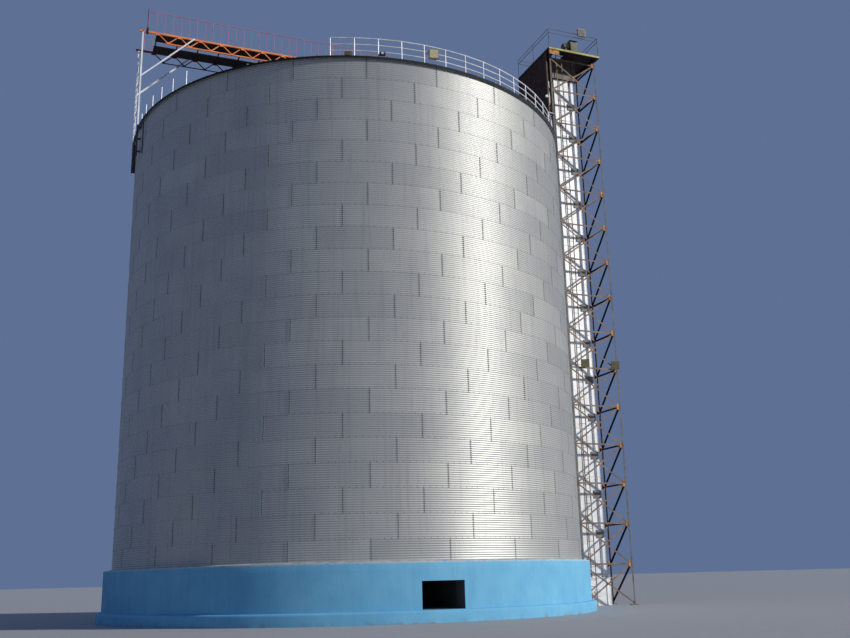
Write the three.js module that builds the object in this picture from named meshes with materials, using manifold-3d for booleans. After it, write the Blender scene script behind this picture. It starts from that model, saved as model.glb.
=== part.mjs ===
// A corrugated steel grain silo on a painted concrete base, with its roof gallery,
// the mast that carries the gallery's far end, and its bucket elevator tower.
// Units are millimetres. +Z is up, the origin is on the ground on the silo's axis,
// +X runs along the gallery to the elevator tower, and the base doorway faces -Y.
import * as THREE from "three";
import { mergeVertices } from "three/addons/utils/BufferGeometryUtils.js";
import Module from "manifold-3d";

const wasm = await Module();
wasm.setup();

// Driving dimensions
const GAP = 0.3; // left between two pieces that touch
const SHEETS = 22; // corrugated sheets in one ring of the wall
const COURSES = 22; // rings of sheets, bottom to top
const COURSE_HEIGHT = 880;
const SIDES = 3 * SHEETS; // sides of every round outline: one railing bay each
const STEP = (2 * Math.PI) / SIDES;
const SEGMENTS = 6; // wall, roof and eave railing are each made in this many segments
const SEGMENT_ANGLE = (2 * Math.PI) / SEGMENTS;

const WALL_OUTER = 10100;
const WALL_THICKNESS = 60; // depth of the corrugation and of the stiffeners behind it
const FOUNDATION_RADIUS = 10610;
const FOUNDATION_TOP = 430;
const BASE_OUTER = 10410;
const BASE_THICKNESS = 650;
const BASE_TOP = 2040;
const SLAB_THICKNESS = 300;
const COURSE_LAP = 100; // part of the lowest course that is below the top of the base
const EAVE_HEIGHT = BASE_TOP - COURSE_LAP + COURSES * COURSE_HEIGHT;

const DOOR_WIDTH = 1600;
const DOOR_HEIGHT = 955;
const DOOR_X = 50; // the doorway's middle is a little to the right of the silo's axis
const TUNNEL_WIDTH = 2200;
const TUNNEL_WALL = 250;

const ROOF_EDGE = 10190;
const ROOF_SLOPE = Math.tan(THREE.MathUtils.degToRad(21));
const ROOF_THICKNESS = 65;
const FASCIA = 30;
const ROOF_HOLE = 500;
const COLLAR_WALL = 60;
const COLLAR_FLANGE = 120;

const EAVE_RAIL_RADIUS = 10000;
const EAVE_RAIL_HEIGHT = 850;
const BARE_POST_HEIGHT = 750;
const RAIL_TUBE = 40;
const BARE_SEGMENT = 4; // its posts have lost their rails and stand on a foot rail
const SHORT_SEGMENT = 5; // railed only over its last bays
const SHORT_BAYS = 4;

const GALLERY_Y = 900; // middle of each side truss
const GALLERY_TOP = 26080; // middle of the top chords
const GALLERY_BOTTOM = 25630; // middle of the bottom chords
const GALLERY_START = -10330;
const GALLERY_END = 2270;
const TOP_CHORD = 80;
const BOTTOM_CHORD = 60;
const WEB = 40;
const PANEL = 980;
const PANELS = 12;
const FIRST_TOP_NODE = -9530;
const WALKWAY_INNER = 200; // half the width of the slot between the two walkways
const GALLERY_RAIL_TOP = 27150;
const BALUSTER_PITCH = 367.5;
const POST_EVERY = 4; // balusters from one post to the next
const THIN_TUBE = 30;
const SLIMMER = 10; // a brace is this much thinner than the member that it runs into
const DECK_PLATE = 30;
const DECK_BEAM = 50; // cross beams under the walkways
const CONVEYOR = { x0: -350, x1: 11500, z0: 25420, width: 400, height: 350 };
const SPOUT_RADIUS = 150;
const SPOUT_WALL = 12;
const PEAK_FRAME_X = 600; // half the length of the frame on the roof's peak

const MAST_X = -10190;
const LADDER_X = -10212; // clear of the roof's edge
const MAST_LEG = 70;
const MAST_FOOT = 19800;
const MAST_TOP = 26200;
const BRACE_START = 23750;
const BRACKET = { width: 45, height: 80, z: [20000, 20600, 21150] };
const STRINGER = 40;
const MAST_STRINGERS_Y = [180, 780];
const MAST_LADDER_TOP = 25400; // just below the gallery's open end
const MAST_TIES_Z = [22300, 23700, 25100];
const RUNG_PITCH = 300;
const RUNG = 24;

const TOWER_X = [11175, 13925]; // middles of the legs
const TOWER_Y = 930;
const TOWER_LEG = 100;
const TOWER_BAR = 60;
const TOWER_DIAGONAL = 50;
const TOWER_PANEL = 1920;
const TOWER_PANELS = 15;
const ROOM_PANELS = 2; // the upper panels, where the head room stands behind the tower
const LEG_TOP = 29030;
const FOOT_PLATE = 300;
const FOOT_PLATE_THICKNESS = 20;

const PLATFORM = { x0: 10900, x1: 14050, y0: -1400, y1: 2250, top: 29200 };
const PLATE = 50;
const SKIRT_DEPTH = 150;
const SKIRT_WIDTH = 60;
const HATCH = { x0: 11480, x1: 12120, y0: -840, y1: -370 };
const PLATFORM_RAIL_HEIGHT = 1130;
const SECOND_RAIL_DROP = 220;
const RAIL_INSET = 40; // from the platform's edge to the middle of its railing
const JOIST = 80;
const FLOODLIGHT = { x0: 12700, x1: 13180, z0: 30140, z1: 30580, depth: 200 };
const ROOM = { x1: 13100, z0: 25400, sheet: 40 };

const BOOT_TOP = 1300;
const HEAD_BOTTOM = 28000;
const HEAD_X = [11500, 13150];
const HEAD_WIDTH = 700;
const CASING_DEPTH = 500;
const UP_LEG_X = [11720, 12060];
const DOWN_LEG_X = [12100, 12640];
const RETURN_DUCT = { x0: 12780, x1: 13040, y0: -250, y1: 0 };
const CHUTE = { from: [11550, 0, 28780], to: [11230, 0, 25400], width: 300, top: 28600 };
const DRIVE_Y = -1000;
const MOTOR = { x0: 11990, x1: 12500, radius: 170, axisHeight: 420 };
const DRIVE_BED = { x0: 12070, x1: 12450, width: 320, height: 300 };
const GEARBOX = { x0: 12400, x1: 12870, width: 400, height: 850 };
const TOWER_STRINGERS_X = [11640, 11980];
const TOWER_STRINGER_Y = -800;

// Named materials: colour, roughness and metalness
const look = (color, roughness, metalness) => ({ color, roughness, metalness });
const LOOKS = {
  galvanised: look(0xaab0b0, 0.42, 0.85),
  basePaint: look(0x57aede, 0.75, 0),
  concrete: look(0x9b9a94, 0.9, 0),
  orangePaint: look(0xd9683a, 0.6, 0.2),
  redPaint: look(0xb4444a, 0.6, 0.2),
  whitePaint: look(0xdfe3e4, 0.5, 0.1),
  rust: look(0x8a4a26, 0.8, 0.3),
  darkSheet: look(0x3a2a22, 0.8, 0.3),
  greenPaint: look(0x4d5a3c, 0.6, 0.3),
  greyPaint: look(0x4a4d50, 0.6, 0.3),
  lamp: look(0xb59b62, 0.6, 0.2),
};

const silo = new THREE.Group();
silo.name = "grain_silo";

function piece(name, geometry, lookName) {
  const material = new THREE.MeshStandardMaterial(LOOKS[lookName]);
  const mesh = new THREE.Mesh(geometry, material);
  mesh.name = name;
  silo.add(mesh);
}

// Solids and their joins

function solid(geometry) {
  const bare = geometry.clone();
  bare.deleteAttribute("normal");
  bare.deleteAttribute("uv");
  const merged = mergeVertices(bare, 1e-3);
  return new wasm.Manifold(
    new wasm.Mesh({
      numProp: 3,
      vertProperties: new Float32Array(merged.attributes.position.array),
      triVerts: new Uint32Array(merged.index.array),
    }),
  );
}

function geometryOf(made) {
  const mesh = made.getMesh();
  const geometry = new THREE.BufferGeometry();
  const positions = new THREE.BufferAttribute(mesh.vertProperties, mesh.numProp);
  geometry.setAttribute("position", positions);
  geometry.setIndex(new THREE.BufferAttribute(mesh.triVerts, 1));
  geometry.computeVertexNormals();
  return geometry;
}

function fuse(geometries) {
  return geometryOf(geometries.map(solid).reduce((all, one) => all.add(one)));
}

function cut(geometry, ...tools) {
  return geometryOf(tools.map(solid).reduce((left, tool) => left.subtract(tool), solid(geometry)));
}

function keepInside(geometry, region) {
  return geometryOf(solid(geometry).intersect(solid(region)));
}

// Plain shapes

function box(x0, x1, y0, y1, z0, z1) {
  const geometry = new THREE.BoxGeometry(x1 - x0, y1 - y0, z1 - z0);
  return geometry.translate((x0 + x1) / 2, (y0 + y1) / 2, (z0 + z1) / 2);
}

// An upright square post about (x, y).
function post(x, y, z0, z1, width) {
  return box(x - width / 2, x + width / 2, y - width / 2, y + width / 2, z0, z1);
}

// A square bar from point a to point b, its sides upright or parallel to the ground.
function bar(a, b, width) {
  const start = new THREE.Vector3(...a);
  const end = new THREE.Vector3(...b);
  const along = end.clone().sub(start);
  const length = along.length();
  along.normalize();
  const steep = Math.abs(along.z) > 0.999;
  const side = new THREE.Vector3(0, steep ? 1 : 0, steep ? 0 : 1).cross(along).normalize();
  const across = along.clone().cross(side);
  const turn = new THREE.Matrix4().makeBasis(side, across, along);
  turn.setPosition(start.add(end).multiplyScalar(0.5));
  return new THREE.BoxGeometry(width, width, length).applyMatrix4(turn);
}

function uprightCylinder(x, y, z0, z1, radius, sides) {
  const geometry = new THREE.CylinderGeometry(radius, radius, z1 - z0, sides);
  return geometry.rotateX(Math.PI / 2).translate(x, y, (z0 + z1) / 2);
}

// Round pieces. Angles are measured from -Y towards +X, and every round outline has
// SIDES corners, the first at angle 0.

// The outline's distance from the axis at an angle, as a share of its corner radius.
function outlineShare(angle) {
  const part = ((angle % STEP) + STEP) % STEP;
  return Math.cos(STEP / 2) / Math.cos(part - STEP / 2);
}

function stations(from, to) {
  const angles = [from];
  for (let n = Math.floor(from / STEP) + 1; n * STEP < to - 1e-4; n++) {
    if (n * STEP > from + 1e-4) angles.push(n * STEP);
  }
  angles.push(to);
  return angles;
}

function pointAt(radius, angle, z) {
  const r = radius * outlineShare(angle);
  return [r * Math.sin(angle), -r * Math.cos(angle), z];
}

// A closed profile of [radius, height] points, counter-clockwise, carried round the axis
// from one angle to another and closed at both ends.
function sweep(profile, from, to) {
  const angles = stations(from, to);
  const count = profile.length;
  const positions = angles.flatMap((a) => profile.flatMap(([r, z]) => pointAt(r, a, z)));
  const index = [];
  for (let s = 0; s + 1 < angles.length; s++) {
    for (let i = 0; i < count; i++) {
      const a = s * count + i;
      const b = s * count + ((i + 1) % count);
      index.push(a, a + count, b + count, a, b + count, b);
    }
  }
  const contour = profile.map(([r, z]) => new THREE.Vector2(r, z));
  const last = (angles.length - 1) * count;
  for (const [i, j, k] of THREE.ShapeUtils.triangulateShape(contour, [])) {
    index.push(i, j, k, last + i, last + k, last + j);
  }
  const geometry = new THREE.BufferGeometry();
  geometry.setAttribute("position", new THREE.Float32BufferAttribute(positions, 3));
  geometry.setIndex(index);
  geometry.computeVertexNormals();
  return geometry;
}

const rectangle = (r0, r1, z0, z1) => [
  [r0, z0],
  [r1, z0],
  [r1, z1],
  [r0, z1],
];

function disc(radius, z0, z1) {
  const shape = new THREE.Shape();
  for (let n = 0; n < SIDES; n++) {
    const [x, y] = pointAt(radius, n * STEP, 0);
    if (n === 0) shape.moveTo(x, y);
    else shape.lineTo(x, y);
  }
  const flat = new THREE.ExtrudeGeometry(shape, { depth: z1 - z0, bevelEnabled: false });
  return flat.translate(0, 0, z0);
}

// Concrete base: foundation, ring wall with its doorway, tunnel walls and silo floor

function buildBase() {
  const inner = BASE_OUTER - BASE_THICKNESS;
  const slabBottom = BASE_TOP - SLAB_THICKNESS;
  const wall = rectangle(inner, BASE_OUTER, FOUNDATION_TOP + GAP, slabBottom - GAP);
  const middle = DOOR_X / BASE_OUTER;
  const jamb = Math.asin(DOOR_WIDTH / 2 / BASE_OUTER);
  const slit = GAP / inner;
  const quarter = 16 * STEP; // the front walls end at a corner of the outline
  piece("foundation_slab", disc(FOUNDATION_RADIUS, 0, FOUNDATION_TOP), "basePaint");
  piece("base_wall_front_right", sweep(wall, middle + jamb, quarter), "basePaint");
  piece("base_wall_back_right", sweep(wall, quarter + slit, Math.PI - slit / 2), "basePaint");
  piece("base_wall_back_left", sweep(wall, Math.PI + slit / 2, 2 * Math.PI - quarter - slit), "basePaint");
  const leftJamb = 2 * Math.PI + middle - jamb;
  piece("base_wall_front_left", sweep(wall, 2 * Math.PI - quarter, leftJamb), "basePaint");
  const lintel = rectangle(inner, BASE_OUTER, FOUNDATION_TOP + DOOR_HEIGHT, slabBottom - GAP);
  piece("door_lintel", sweep(lintel, middle + slit - jamb, middle + jamb - slit), "basePaint");
  piece("silo_floor", disc(BASE_OUTER, slabBottom, BASE_TOP), "basePaint");
  const x0 = TUNNEL_WIDTH / 2;
  const x1 = x0 + TUNNEL_WALL;
  const reach = Math.sqrt(inner ** 2 - x1 ** 2) - WALL_THICKNESS;
  for (const [side, name] of [
    [-1, "tunnel_wall_left"],
    [1, "tunnel_wall_right"],
  ]) {
    const [a, b] = side < 0 ? [-x1, -x0] : [x0, x1];
    piece(name, box(a, b, -reach, reach, FOUNDATION_TOP + GAP, slabBottom - GAP), "concrete");
  }
}

// Steel shell: corrugated wall, conical roof and its collar

function buildShell() {
  const slit = GAP / WALL_OUTER;
  const wall = rectangle(WALL_OUTER - WALL_THICKNESS, WALL_OUTER, BASE_TOP + GAP, EAVE_HEIGHT);
  const roof = [
    [WALL_OUTER - WALL_THICKNESS, EAVE_HEIGHT + GAP],
    [ROOF_EDGE, EAVE_HEIGHT + GAP],
    [ROOF_EDGE, EAVE_HEIGHT + FASCIA],
    [ROOF_HOLE, roofTop(ROOF_HOLE)],
    [ROOF_HOLE, roofTop(ROOF_HOLE) - ROOF_THICKNESS],
    [WALL_OUTER - WALL_THICKNESS, roofTop(WALL_OUTER - WALL_THICKNESS) - ROOF_THICKNESS],
  ];
  for (let n = 0; n < SEGMENTS; n++) {
    const from = n * SEGMENT_ANGLE;
    const to = from + SEGMENT_ANGLE - slit;
    piece(`wall_segment_${n + 1}`, sweep(wall, from, to), "galvanised");
    const roofSlit = (n + 1) * SEGMENT_ANGLE - GAP / ROOF_HOLE;
    piece(`roof_sector_${n + 1}`, sweep(roof, from, roofSlit), "galvanised");
  }
  const seat = roofTop(ROOF_HOLE) + GAP;
  const outer = ROOF_HOLE - 2 * GAP;
  const collar = [
    [outer - COLLAR_WALL, seat - 2 * ROOF_THICKNESS],
    [outer, seat - 2 * ROOF_THICKNESS],
    [outer, seat],
    [outer + COLLAR_FLANGE, seat],
    [outer + COLLAR_FLANGE, seat + COLLAR_WALL],
    [outer, seat + COLLAR_WALL],
    [outer, seat + 4 * COLLAR_WALL],
    [outer - COLLAR_WALL, seat + 4 * COLLAR_WALL],
  ];
  const outline = [...collar, collar[0]].map(([r, z]) => new THREE.Vector2(r, z));
  const lathe = new THREE.LatheGeometry(outline, SIDES / 2).rotateX(Math.PI / 2);
  piece("roof_collar", lathe, "galvanised");
}

// Height of the roof's upper face at a distance from the axis.
function roofTop(radius) {
  return EAVE_HEIGHT + FASCIA + (ROOF_EDGE - radius) * ROOF_SLOPE;
}

function buildEaveRailing() {
  const half = RAIL_TUBE / 2;
  const foot = roofTop(EAVE_RAIL_RADIUS - half) + GAP;
  const seat = roofTop(EAVE_RAIL_RADIUS);
  const railAt = (z) =>
    rectangle(EAVE_RAIL_RADIUS - half, EAVE_RAIL_RADIUS + half, z - RAIL_TUBE, z);
  const slit = (half + GAP) / EAVE_RAIL_RADIUS;
  const bays = SIDES / SEGMENTS;
  for (let n = 0; n < SEGMENTS; n++) {
    const bare = n === BARE_SEGMENT;
    const top = seat + (bare ? BARE_POST_HEIGHT : EAVE_RAIL_HEIGHT);
    const first = n === SHORT_SEGMENT ? bays - SHORT_BAYS : 0;
    const last = bare ? bays : bays - 1;
    const from = n * SEGMENT_ANGLE + first * STEP;
    const to = (n + 1) * SEGMENT_ANGLE + (bare ? 0 : -slit);
    const parts = [sweep(railAt(bare ? foot + 1.5 * RAIL_TUBE : top), from, to)];
    for (let bay = first; bay <= last; bay++) {
      const angle = n * SEGMENT_ANGLE + bay * STEP;
      const upright = box(-half, half, -half, half, foot, top - half);
      upright.rotateZ(angle);
      const [x, y] = pointAt(EAVE_RAIL_RADIUS, angle, 0);
      parts.push(upright.translate(x, y, 0));
    }
    piece(`eave_railing_${n + 1}`, fuse(parts), "whitePaint");
  }
}

// Gallery: two side trusses, the walkway deck, railings, conveyor and fill spout

function buildGallery() {
  const topNode = (n) => FIRST_TOP_NODE + n * PANEL;
  buildTrusses(topNode);
  buildDeck(topNode);
  buildGalleryRailings();

  // The conveyor runs from the tower to the roof's peak in the trusses' depth.
  const { x0, x1, z0, width, height } = CONVEYOR;
  piece("gallery_conveyor", box(x0, x1, -width / 2, width / 2, z0, z0 + height), "galvanised");
  const spoutTop = z0 - GAP;
  const spoutEnd = roofTop(ROOF_HOLE) - 2 * ROOF_THICKNESS;
  const inner = SPOUT_RADIUS - SPOUT_WALL;
  const pipe = uprightCylinder(0, 0, spoutEnd, spoutTop, SPOUT_RADIUS, 16);
  const bore = uprightCylinder(0, 0, spoutEnd - 1, spoutTop + 1, inner, 16);
  piece("fill_spout", cut(pipe, bore), "galvanised");
  buildPeakFrame();
}

function buildTrusses(topNode) {
  const half = TOP_CHORD / 2;
  const low = BOTTOM_CHORD / 2;
  const bottomNode = (n) => topNode(n) + PANEL / 2;
  const start = bottomNode(0) - BOTTOM_CHORD;
  const end = bottomNode(PANELS - 1) + BOTTOM_CHORD;
  for (const [side, name] of [
    [-1, "gallery_truss_near"],
    [1, "gallery_truss_far"],
  ]) {
    const y = side * GALLERY_Y;
    const parts = [
      box(GALLERY_START, GALLERY_END, y - half, y + half, GALLERY_TOP - half, GALLERY_TOP + half),
      box(start, end, y - low, y + low, GALLERY_BOTTOM - low, GALLERY_BOTTOM + low),
    ];
    for (let n = 0; n < PANELS; n++) {
      const foot = [bottomNode(n), y, GALLERY_BOTTOM];
      parts.push(bar([topNode(n), y, GALLERY_TOP], foot, WEB));
      parts.push(bar(foot, [topNode(n + 1), y, GALLERY_TOP], WEB));
    }
    piece(name, fuse(parts), "orangePaint");
  }
}

// Two walkways with an open slot between them, on cross beams at the trusses' nodes
function buildDeck(topNode) {
  const inside = GALLERY_Y - TOP_CHORD / 2 - GAP;
  const deckStart = topNode(0) - DECK_BEAM;
  const parts = [
    box(deckStart, GALLERY_END, -inside, -WALKWAY_INNER, GALLERY_TOP - DECK_PLATE, GALLERY_TOP),
    box(deckStart, GALLERY_END, WALKWAY_INNER, inside, GALLERY_TOP - DECK_PLATE, GALLERY_TOP),
  ];
  const low = GALLERY_TOP - DECK_PLATE - DECK_BEAM;
  for (let n = 0; n <= PANELS; n++) {
    const x = topNode(n) - DECK_BEAM / 2;
    parts.push(box(x, x + DECK_BEAM, -inside, inside, low, GALLERY_TOP - DECK_PLATE / 2));
  }
  piece("gallery_deck", fuse(parts), "darkSheet");
}

// The near railing turns the corner and closes the gallery's end.
function buildGalleryRailings() {
  const foot = GALLERY_TOP + TOP_CHORD / 2 + GAP;
  const top = GALLERY_RAIL_TOP;
  const start = GALLERY_START + BALUSTER_PITCH;
  const bay = POST_EVERY * BALUSTER_PITCH;
  const bays = Math.floor((GALLERY_END - start) / bay);
  const end = start + bays * bay;
  const half = THIN_TUBE / 2;
  for (const [side, name] of [
    [-1, "gallery_railing_near"],
    [1, "gallery_railing_far"],
  ]) {
    const y = side * GALLERY_Y;
    const parts = [box(start - half, end + half, y - half, y + half, top - THIN_TUBE, top)];
    for (let n = 0; n <= bays; n++) {
      parts.push(post(start + n * bay, y, foot, top - half, THIN_TUBE));
    }
    if (side < 0) {
      const reach = GALLERY_Y - half - GAP;
      parts.push(box(end - half, end + half, y, reach, top - THIN_TUBE, top));
    }
    piece(name, fuse(parts), "redPaint");
  }
}

// Frame on the roof's peak that carries the gallery's end and the conveyor's
function buildPeakFrame() {
  const x = PEAK_FRAME_X;
  const y = GALLERY_Y;
  const leg = TOP_CHORD;
  const beam = leg - SLIMMER;
  const top = GALLERY_BOTTOM - BOTTOM_CHORD / 2 - GAP;
  const foot = roofTop(Math.hypot(x - leg / 2, y - leg / 2)) + GAP;
  const under = CONVEYOR.z0 - GAP - beam / 2;
  const parts = [];
  for (const side of [-1, 1]) {
    for (const front of [-1, 1]) parts.push(post(side * x, front * y, foot, top, leg));
    parts.push(bar([side * x, -y, under], [side * x, y, under], beam));
    parts.push(bar([-x, side * y, top - leg / 2], [x, side * y, top - leg / 2], beam));
  }
  piece("gallery_peak_frame", fuse(parts), "galvanised");
}

// Mast at the gallery's far end, bracketed to the outside of the wall

function buildMast() {
  const legY = GALLERY_Y + TOP_CHORD / 2 + GAP + MAST_LEG / 2;
  const wallFace = disc(WALL_OUTER + GAP, MAST_FOOT - MAST_LEG, EAVE_HEIGHT);
  const rise = GALLERY_TOP - BRACE_START;
  const reach = MAST_X + 2 * MAST_LEG;
  const halfBracket = BRACKET.width / 2;
  for (const [side, name] of [
    [-1, "mast_leg_near"],
    [1, "mast_leg_far"],
  ]) {
    const y = side * legY;
    const parts = [
      post(MAST_X, y, MAST_FOOT, MAST_TOP, MAST_LEG),
      bar([MAST_X, y, BRACE_START], [MAST_X + rise, y, GALLERY_TOP], MAST_LEG - SLIMMER),
    ];
    for (const z of BRACKET.z) {
      parts.push(box(MAST_X, reach, y - halfBracket, y + halfBracket, z, z + BRACKET.height));
    }
    piece(name, cut(fuse(parts), wallFace), "whitePaint");
  }
  const inside = legY - MAST_LEG / 2 - GAP;
  const [near, far] = MAST_STRINGERS_Y;
  const half = STRINGER / 2;
  const parts = [near, far].map((y) => post(LADDER_X, y, MAST_FOOT, MAST_LADDER_TOP, STRINGER));
  for (const z of MAST_TIES_Z) {
    parts.push(box(LADDER_X - half, LADDER_X + half, -inside, inside, z, z + STRINGER + SLIMMER));
  }
  for (let z = MAST_FOOT + RUNG_PITCH; z < MAST_LADDER_TOP; z += RUNG_PITCH) {
    parts.push(bar([LADDER_X, near, z], [LADDER_X, far, z], RUNG));
  }
  piece("mast_ladder", fuse(parts), "whitePaint");
}

// Elevator tower

const towerNode = (n) => (TOWER_PANELS - n) * TOWER_PANEL;

// Two legs on their foot plates with crossed panels between them, from one panel down
function crossedFace(y, first, legTop) {
  const [x0, x1] = TOWER_X;
  const parts = TOWER_X.flatMap((x) => [
    post(x, y, 0, legTop, TOWER_LEG),
    post(x, y, 0, FOOT_PLATE_THICKNESS, FOOT_PLATE),
  ]);
  for (let n = first; n < TOWER_PANELS; n++) {
    const top = towerNode(n);
    const low = Math.max(towerNode(n + 1), TOWER_LEG);
    parts.push(bar([x0, y, top], [x1, y, top], TOWER_BAR));
    parts.push(bar([x0, y, top], [x1, y, low], TOWER_DIAGONAL));
    parts.push(bar([x1, y, top], [x0, y, low], TOWER_DIAGONAL));
  }
  return fuse(parts);
}

function buildTowerFrame() {
  const top = LEG_TOP - GAP;
  const y = TOWER_Y;
  piece("tower_frame_front", crossedFace(-y, 0, top), "rust");
  const splice = towerNode(ROOM_PANELS) + TOWER_BAR / 2;
  piece("tower_frame_back", crossedFace(y, ROOM_PANELS, splice), "rust");
  // Towards the head room the back is open between its legs.
  const upper = TOWER_X.map((x) => post(x, y, splice + GAP, top, TOWER_LEG));
  for (let n = 0; n < ROOM_PANELS; n++) {
    upper.push(bar([TOWER_X[0], y, towerNode(n)], [TOWER_X[1], y, towerNode(n)], TOWER_BAR));
  }
  piece("tower_frame_back_top", fuse(upper), "rust");
  buildTowerBracing();
}

// Side bracing; the left side is open above its braced panels, where the conveyor comes in
// on a bearer.
function buildTowerBracing() {
  const reach = TOWER_Y - TOWER_LEG / 2 - GAP;
  const between = (x) => box(x - TOWER_LEG, x + TOWER_LEG, -reach, reach, 0, LEG_TOP);
  const across = (x, z) => bar([x, -TOWER_Y, z], [x, TOWER_Y, z], TOWER_BAR);
  for (const [x, braced, name] of [
    [TOWER_X[0], ROOM_PANELS, "tower_bracing_left"],
    [TOWER_X[1], 0, "tower_bracing_right"],
  ]) {
    const parts = [];
    for (let n = braced; n < TOWER_PANELS; n++) {
      const [top, bottom] = [towerNode(n), Math.max(towerNode(n + 1), TOWER_LEG)];
      parts.push(across(x, top));
      parts.push(bar([x, -TOWER_Y, top], [x, TOWER_Y, bottom], TOWER_DIAGONAL));
    }
    piece(name, keepInside(fuse(parts), between(x)), "rust");
  }
  const left = TOWER_X[0];
  const bearer = across(left, CONVEYOR.z0 - GAP - TOWER_BAR / 2);
  piece("conveyor_bearer", keepInside(bearer, between(left)), "rust");
}

function buildElevator() {
  const half = CASING_DEPTH / 2;
  const wide = HEAD_WIDTH / 2;
  const [z0, z1] = [BOOT_TOP + GAP, HEAD_BOTTOM - GAP];
  const casing = ([x0, x1]) => box(x0, x1, -half, half, z0, z1);
  piece("elevator_leg_up", casing(UP_LEG_X), "whitePaint");
  piece("elevator_leg_down", casing(DOWN_LEG_X), "whitePaint");
  const duct = RETURN_DUCT;
  piece("return_duct", box(duct.x0, duct.x1, duct.y0, duct.y1, z0, z1), "whitePaint");

  const [x0, x1] = HEAD_X;
  const headTop = PLATFORM.top - PLATE - GAP;
  piece("elevator_boot", box(x0, x1, -wide, wide, 0, BOOT_TOP), "whitePaint");
  piece("elevator_head", box(x0, x1, -wide, wide, HEAD_BOTTOM, headTop), "greyPaint");
  const conveyorTop = CONVEYOR.z0 + CONVEYOR.height + GAP;
  const chute = bar(CHUTE.from, CHUTE.to, CHUTE.width);
  const region = box(CHUTE.to[0] - wide, x0 - GAP, -wide, wide, conveyorTop, CHUTE.top);
  piece("discharge_spout", keepInside(chute, region), "galvanised");
  buildDrive();
  buildTowerLadder();
}

// Motor, gearbox and their bed on the platform, above the elevator's head shaft
function buildDrive() {
  const deck = PLATFORM.top + GAP;
  const { x0, x1, radius, axisHeight } = MOTOR;
  const motor = new THREE.CylinderGeometry(radius, radius, x1 - x0, 20);
  motor.rotateZ(Math.PI / 2).translate((x0 + x1) / 2, DRIVE_Y, deck + axisHeight);
  const housing = (made) => {
    const half = made.width / 2;
    return box(made.x0, made.x1, DRIVE_Y - half, DRIVE_Y + half, deck, deck + made.height);
  };
  piece("head_drive", fuse([housing(GEARBOX), motor, housing(DRIVE_BED)]), "greenPaint");
}

function buildTowerLadder() {
  const [left, right] = TOWER_STRINGERS_X;
  const y = TOWER_STRINGER_Y;
  const top = PLATFORM.top - PLATE - GAP;
  const front = TOWER_BAR / 2 + GAP - TOWER_Y;
  const lug = THIN_TUBE / 2;
  const parts = [left, right].map((x) => post(x, y, 0, top, STRINGER));
  for (let n = 0; n < TOWER_PANELS; n++) {
    const z = towerNode(n);
    parts.push(bar([left, y, z], [right, y, z], RUNG));
    for (const x of [left, right]) parts.push(box(x - lug, x + lug, front, y, z - lug, z + lug));
  }
  piece("tower_ladder", fuse(parts), "rust");
}

function buildPlatform() {
  const { x0, x1, y0, y1, top } = PLATFORM;
  const s = SKIRT_WIDTH;
  const low = top - SKIRT_DEPTH;
  const tray = cut(
    box(x0, x1, y0, y1, low, top),
    box(x0 + s, x1 - s, y0 + s, y1 - s, low - s, top - PLATE),
  );
  const half = JOIST / 2;
  const joist = (x) => box(x - half, x + half, y0 + s / 2, y1 - s / 2, LEG_TOP, top - PLATE / 2);
  const hatch = box(HATCH.x0, HATCH.x1, HATCH.y0, HATCH.y1, low - s, top + s);
  piece("head_platform", cut(fuse([tray, ...TOWER_X.map(joist)]), hatch), "darkSheet");
  buildPlatformRailing();
  buildFloodlight();
  buildHeadRoom();
}

// Dark sheet cladding of the head room, below the platform and behind the tower. Its left
// wall also screens the tower and lets the conveyor through.
function buildHeadRoom() {
  const { x0, y1 } = PLATFORM;
  const { x1, z0, sheet } = ROOM;
  const z1 = LEG_TOP - GAP;
  const near = -TOWER_Y - TOWER_LEG / 2;
  const start = TOWER_Y + TOWER_LEG / 2 + GAP;
  const half = CONVEYOR.width / 2 + GAP;
  const slotTop = CONVEYOR.z0 + CONVEYOR.height + GAP;
  const screen = cut(
    box(x0, x0 + sheet, near, y1, z0, z1),
    box(x0 - sheet, x0 + 2 * sheet, -half, half, z0 - sheet, slotTop),
  );
  const room = [
    screen,
    box(x0, x1, y1 - sheet, y1, z0, z1),
    box(x1 - sheet, x1, start, y1, z0, z1),
    box(x0, x1, start, y1, z0, z0 + sheet),
  ];
  piece("head_room", fuse(room), "darkSheet");
}

function buildPlatformRailing() {
  const { x0, x1, y0, y1, top } = PLATFORM;
  const [left, right] = [x0 + RAIL_INSET, x1 - RAIL_INSET];
  const [front, back] = [y0 + RAIL_INSET, y1 - RAIL_INSET];
  const deck = top + GAP;
  const t = THIN_TUBE / 2;
  const ring = (z) =>
    cut(
      box(left - t, right + t, front - t, back + t, z - t, z + t),
      box(left + t, right - t, front + t, back - t, z - RAIL_TUBE, z + RAIL_TUBE),
    );
  const railTop = top + PLATFORM_RAIL_HEIGHT - t;
  const rails = [ring(railTop - SECOND_RAIL_DROP), ring(railTop)];
  const [middleX, middleY] = [(left + right) / 2, (front + back) / 2];
  for (const x of [left, right]) {
    for (const y of [front, middleY, back]) rails.push(post(x, y, deck, railTop, RAIL_TUBE));
  }
  rails.push(post(middleX, back, deck, railTop, RAIL_TUBE));
  piece("platform_railing", fuse(rails), "rust");
}

// Square floodlight clamped to the outside of the platform's near railing
function buildFloodlight() {
  const { x0, x1, z0, z1, depth } = FLOODLIGHT;
  const back = PLATFORM.y0 + RAIL_INSET - THIN_TUBE / 2 - GAP;
  piece("platform_floodlight", box(x0, x1, back - depth, back, z0, z1), "lamp");
}

buildBase();
buildShell();
buildEaveRailing();
buildGallery();
buildMast();
buildTowerFrame();
buildElevator();
buildPlatform();

export default silo;
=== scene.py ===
"""Looks of a corrugated steel grain silo with its gallery and elevator tower, in metres."""
import math
import random

import bmesh
import bpy
from mathutils import Matrix, Vector


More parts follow.
